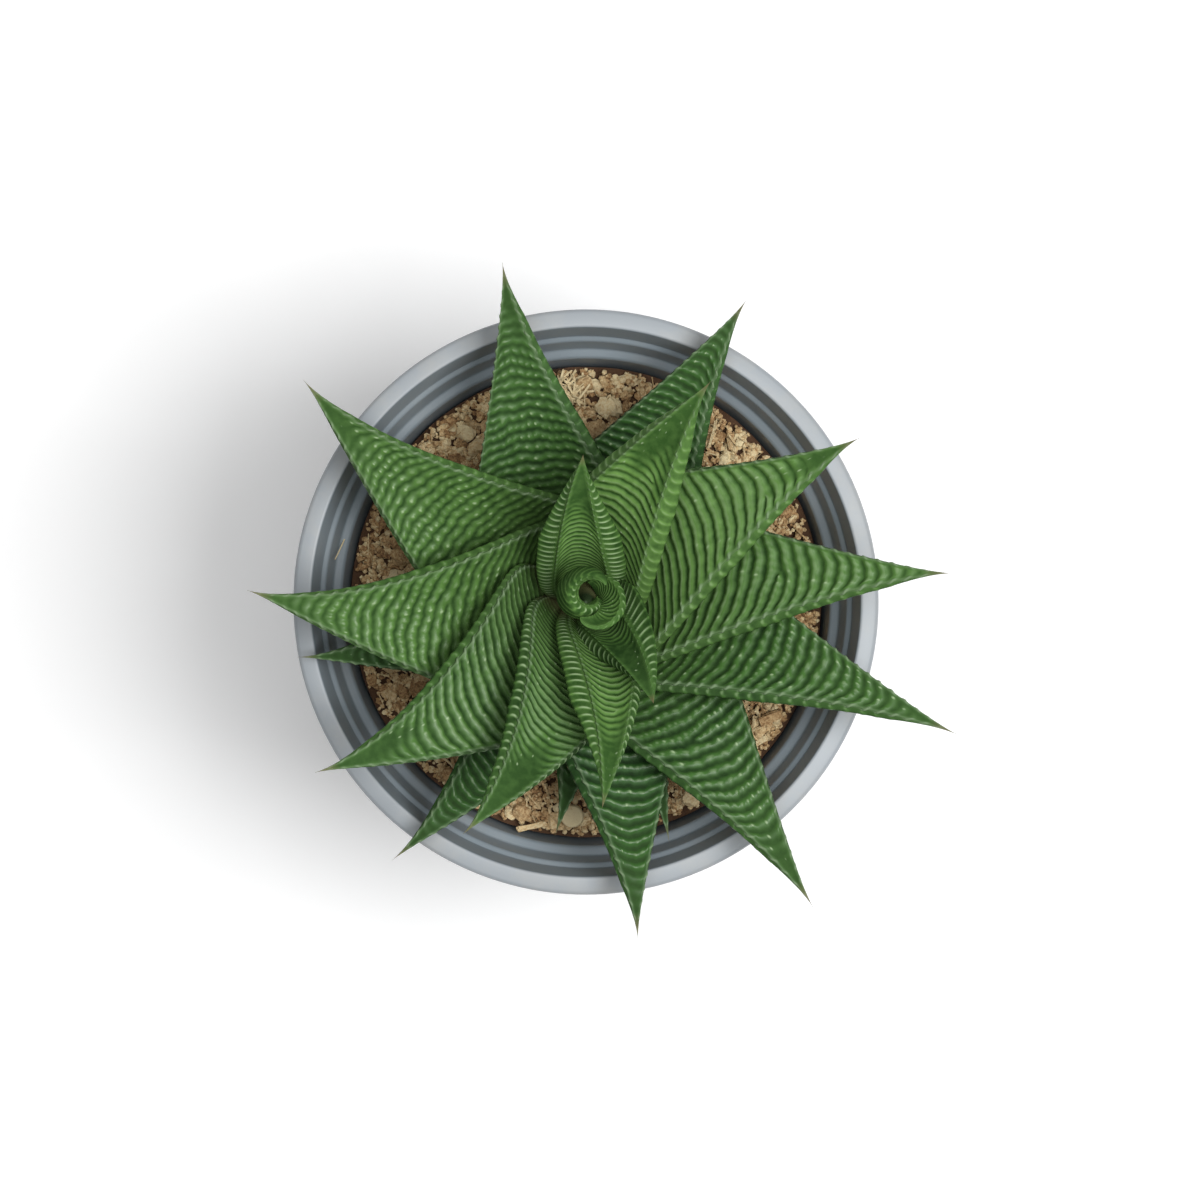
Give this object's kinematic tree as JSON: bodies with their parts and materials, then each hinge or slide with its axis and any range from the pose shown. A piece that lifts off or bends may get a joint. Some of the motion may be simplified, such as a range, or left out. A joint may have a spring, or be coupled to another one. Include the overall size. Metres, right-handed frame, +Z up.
{
  "type": "potted haworthia",
  "caption": "Low rosette of broad, cross-ridged succulent leaves on a short stem, growing in a round lipped plastic nursery pot of coarse potting mix.",
  "frame": {"origin": "on the ground, under the middle of the pot, on the flat pad in the middle of the pot's bottom", "axes": "+Z up along the pot's axis; +Y towards the top of the picture and +X towards its right, seen from above"},
  "size_m": [0.1056, 0.102, 0.1139],
  "materials": {
    "pot_plastic": "moulded grey polypropylene, satin",
    "potting_mix": "loose bark chips and crumbs, dry",
    "stem_skin": "fibrous, matt",
    "young_leaf": "waxy succulent skin, bright green, satin",
    "old_leaf": "waxy succulent skin, dark green, satin"
  },
  "bodies": {
    "root": {"pot": "pot_plastic", "soil": "potting_mix", "stem": "stem_skin", "heart_left": "young_leaf", "heart_right": "young_leaf", "leaf_01": "young_leaf", "leaf_02": "young_leaf", "leaf_03": "young_leaf", "leaf_04": "young_leaf", "leaf_05": "young_leaf", "leaf_06": "young_leaf", "leaf_07": "young_leaf", "leaf_08": "old_leaf", "leaf_09": "young_leaf", "leaf_10": "old_leaf", "leaf_11": "old_leaf", "leaf_12": "old_leaf", "leaf_13": "old_leaf", "leaf_14": "old_leaf", "leaf_15": "old_leaf", "leaf_16": "old_leaf", "leaf_17": "old_leaf", "leaf_18": "old_leaf", "leaf_19": "old_leaf"}
  },
  "joints": []
}
